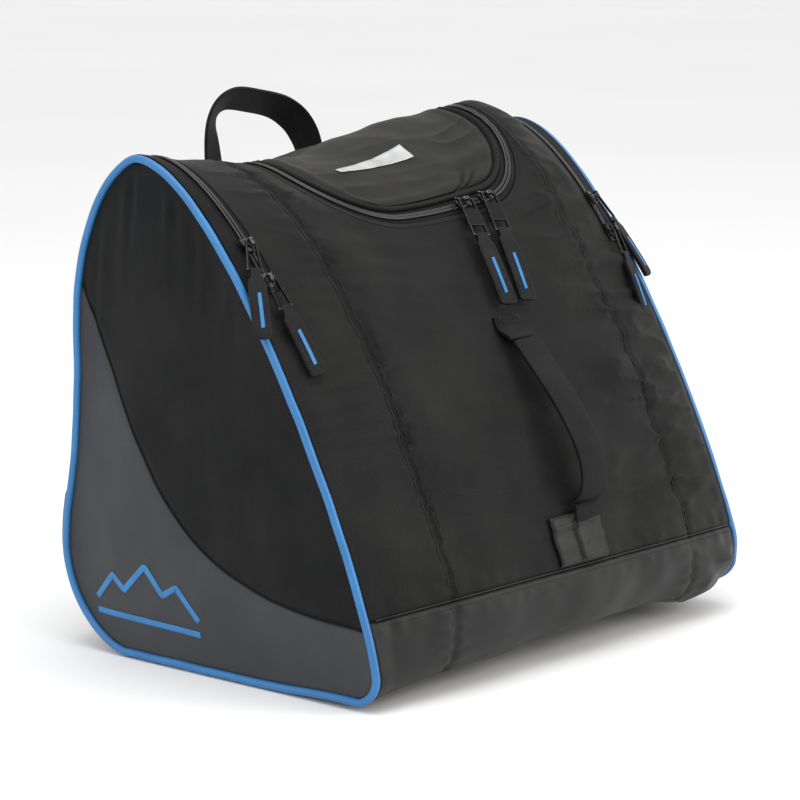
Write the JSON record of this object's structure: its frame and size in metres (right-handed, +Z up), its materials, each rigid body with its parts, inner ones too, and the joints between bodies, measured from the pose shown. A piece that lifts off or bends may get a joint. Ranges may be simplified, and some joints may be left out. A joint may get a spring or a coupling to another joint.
{
  "type": "ski boot bag",
  "caption": "Soft boot bag with leaning front, zipped top lid, a zipped boot pocket at each end, piped end panels, padded back, shoulder straps, grab and haul handles.",
  "frame": {"origin": "on the floor under the middle of the base", "axes": "+X across the width, -Y towards the leaning front, +Z up"},
  "size_m": [0.4633, 0.3547, 0.3973],
  "materials": {
    "black_cloth": "matt woven polyester",
    "grey_cloth": "coated weave, faint sheen",
    "band_cloth": "satin coated weave",
    "lining": "plain lining",
    "padded_mesh": "padded air mesh",
    "piping": "satin blue piping",
    "zip": "nylon coil zip with woven tape",
    "gunmetal": "black enamelled zinc with worn edges",
    "webbing": "ribbed webbing",
    "board": "stiffening board",
    "buckle": "moulded nylon"
  },
  "bodies": {
    "shell": {"base_panel": "band_cloth", "base_board": "board", "front_band": "band_cloth", "front_panel": "black_cloth", "back_panel": "padded_mesh", "back_yoke": "black_cloth", "lid_zip_outer": "zip", "haul_anchor": "webbing", "haul_patch": "black_cloth", "left_gusset": "black_cloth", "left_end_black_lower": "black_cloth", "left_end_grey_lower": "grey_cloth", "left_piping_lower": "piping", "left_zip_inner": "zip", "left_divider": "lining", "right_gusset": "black_cloth", "right_end_black_lower": "black_cloth", "right_end_grey_lower": "grey_cloth", "right_piping_lower": "piping", "right_zip_inner": "zip", "right_divider": "lining"},
    "lid": {"lid_panel": "black_cloth", "lid_binding": "black_cloth", "lid_zip_inner": "zip"},
    "left_flap": {"left_end_black_upper": "black_cloth", "left_end_grey_upper": "grey_cloth", "left_piping_upper": "piping", "left_zip_outer": "zip"},
    "right_flap": {"right_end_black_upper": "black_cloth", "right_end_grey_upper": "grey_cloth", "right_piping_upper": "piping", "right_zip_outer": "zip"},
    "lid_left_slider": {"lid_left_slider": "gunmetal"},
    "lid_left_pull": {"lid_left_pull": "gunmetal"},
    "lid_left_tab": {"lid_left_tab": "webbing"},
    "lid_right_slider": {"lid_right_slider": "gunmetal"},
    "lid_right_pull": {"lid_right_pull": "gunmetal"},
    "lid_right_tab": {"lid_right_tab": "webbing"},
    "left_lower_slider": {"left_lower_slider": "gunmetal"},
    "left_lower_pull": {"left_lower_pull": "gunmetal"},
    "left_lower_tab": {"left_lower_tab": "webbing"},
    "left_upper_slider": {"left_upper_slider": "gunmetal"},
    "left_upper_pull": {"left_upper_pull": "gunmetal"},
    "left_upper_tab": {"left_upper_tab": "webbing"},
    "right_lower_slider": {"right_lower_slider": "gunmetal"},
    "right_lower_pull": {"right_lower_pull": "gunmetal"},
    "right_lower_tab": {"right_lower_tab": "webbing"},
    "right_upper_slider": {"right_upper_slider": "gunmetal"},
    "right_upper_pull": {"right_upper_pull": "gunmetal"},
    "right_upper_tab": {"right_upper_tab": "webbing"},
    "grab_handle": {"grab_handle": "webbing"},
    "haul_handle": {"haul_handle": "webbing"},
    "left_strap": {"left_strap_pad": "padded_mesh", "left_strap_adjuster": "buckle", "left_strap_webbing": "webbing"},
    "right_strap": {"right_strap_pad": "padded_mesh", "right_strap_adjuster": "buckle", "right_strap_webbing": "webbing"}
  },
  "joints": [
    {"name": "lid_hinge", "type": "hinge", "parent": "shell", "child": "lid", "pos_m": [0, 0.11521, 0.34245], "axis": [-1, 0, 0], "range_deg": [0, 80]},
    {"name": "left_flap_fold", "type": "hinge", "parent": "shell", "child": "left_flap", "pos_m": [-0.22, 0.05792, 0.19881], "axis": [0, -0.7605, 0.6494], "range_deg": [0, 75]},
    {"name": "right_flap_fold", "type": "hinge", "parent": "shell", "child": "right_flap", "pos_m": [0.22, 0.05792, 0.19881], "axis": [0, 0.7605, -0.6494], "range_deg": [0, 75]},
    {"name": "lid_left_slider_travel", "type": "slide", "parent": "lid", "child": "lid_left_slider", "axis": [-0.9984, -0.0001, -0.0557], "range_m": [0, 0.052]},
    {"name": "lid_left_pull_hinge", "type": "hinge", "parent": "lid_left_slider", "child": "lid_left_pull", "pos_m": [0.03457, -0.02255, 0.32669], "axis": [-0.976, 0.1987, 0.0885], "range_deg": [0, 130]},
    {"name": "lid_left_tab_hinge", "type": "hinge", "parent": "lid_left_pull", "child": "lid_left_tab", "pos_m": [0.028, -0.04388, 0.30211], "axis": [-0.976, 0.1987, 0.0885], "range_deg": [0, 50]},
    {"name": "lid_right_slider_travel", "type": "slide", "parent": "lid", "child": "lid_right_slider", "axis": [0.995, 0.0075, 0.0998], "range_m": [0, 0.01]},
    {"name": "lid_right_pull_hinge", "type": "hinge", "parent": "lid_right_slider", "child": "lid_right_pull", "pos_m": [0.06155, -0.02269, 0.32906], "axis": [-0.9759, 0.1962, 0.0957], "range_deg": [0, 130]},
    {"name": "lid_right_tab_hinge", "type": "hinge", "parent": "lid_right_pull", "child": "lid_right_tab", "pos_m": [0.05499, -0.04286, 0.30353], "axis": [-0.9759, 0.1962, 0.0957], "range_deg": [0, 50]},
    {"name": "left_lower_slider_travel", "type": "slide", "parent": "shell", "child": "left_lower_slider", "axis": [0, 0.5941, 0.8044], "range_m": [-0.004, 0.0004]},
    {"name": "left_lower_pull_hinge", "type": "hinge", "parent": "left_lower_slider", "child": "left_lower_pull", "pos_m": [-0.19856, -0.03954, 0.29203], "axis": [-0.9691, 0.1488, -0.1966], "range_deg": [0, 130]},
    {"name": "left_lower_tab_hinge", "type": "hinge", "parent": "left_lower_pull", "child": "left_lower_tab", "pos_m": [-0.19652, -0.05197, 0.27254], "axis": [-0.9691, 0.1488, -0.1966], "range_deg": [0, 50]},
    {"name": "left_upper_slider_travel", "type": "slide", "parent": "shell", "child": "left_upper_slider", "axis": [0, 0.653, 0.7573], "range_m": [0, 0.027]},
    {"name": "left_upper_pull_hinge", "type": "hinge", "parent": "left_upper_slider", "child": "left_upper_pull", "pos_m": [-0.19836, -0.02084, 0.31581], "axis": [-0.9072, 0.3897, 0.1586], "range_deg": [0, 130]},
    {"name": "left_upper_tab_hinge", "type": "hinge", "parent": "left_upper_pull", "child": "left_upper_tab", "pos_m": [-0.20661, -0.03261, 0.29759], "axis": [-0.9072, 0.3897, 0.1586], "range_deg": [0, 50]},
    {"name": "right_lower_slider_travel", "type": "slide", "parent": "shell", "child": "right_lower_slider", "axis": [0, 0.586, 0.8103], "range_m": [-0.004, 0.0004]},
    {"name": "right_lower_pull_hinge", "type": "hinge", "parent": "right_lower_slider", "child": "right_lower_pull", "pos_m": [0.19864, -0.03956, 0.29215], "axis": [-0.9662, -0.1603, 0.202], "range_deg": [0, 130]},
    {"name": "right_lower_tab_hinge", "type": "hinge", "parent": "right_lower_pull", "child": "right_lower_tab", "pos_m": [0.19658, -0.05181, 0.27256], "axis": [-0.9662, -0.1603, 0.202], "range_deg": [0, 50]},
    {"name": "right_upper_slider_travel", "type": "slide", "parent": "shell", "child": "right_upper_slider", "axis": [0, 0.6375, 0.7705], "range_m": [0, 0.009]},
    {"name": "right_upper_pull_hinge", "type": "hinge", "parent": "right_upper_slider", "child": "right_upper_pull", "pos_m": [0.19879, -0.02084, 0.31659], "axis": [-0.8924, -0.4326, -0.1282], "range_deg": [0, 130]},
    {"name": "right_upper_tab_hinge", "type": "hinge", "parent": "right_upper_pull", "child": "right_upper_tab", "pos_m": [0.20681, -0.03182, 0.29779], "axis": [-0.8924, -0.4326, -0.1282], "range_deg": [0, 50]},
    {"name": "grab_handle_fold", "type": "hinge", "parent": "shell", "child": "grab_handle", "pos_m": [0, 0.146, 0.26776], "axis": [-1, 0, 0], "range_deg": [-10, 60]},
    {"name": "haul_handle_swing", "type": "hinge", "parent": "shell", "child": "haul_handle", "pos_m": [0.016, -0.1252, 0.17277], "axis": [0, 0.4464, 0.8948], "range_deg": [-18, 18]},
    {"name": "left_strap_swing", "type": "hinge", "parent": "shell", "child": "left_strap", "pos_m": [-0.083, 0.1622, 0.14818], "axis": [0.366, -0.0699, 0.928], "range_deg": [-12, 12]},
    {"name": "right_strap_swing", "type": "hinge", "parent": "shell", "child": "right_strap", "pos_m": [0.083, 0.1622, 0.14818], "axis": [-0.366, -0.0699, 0.928], "range_deg": [-12, 12]}
  ]
}
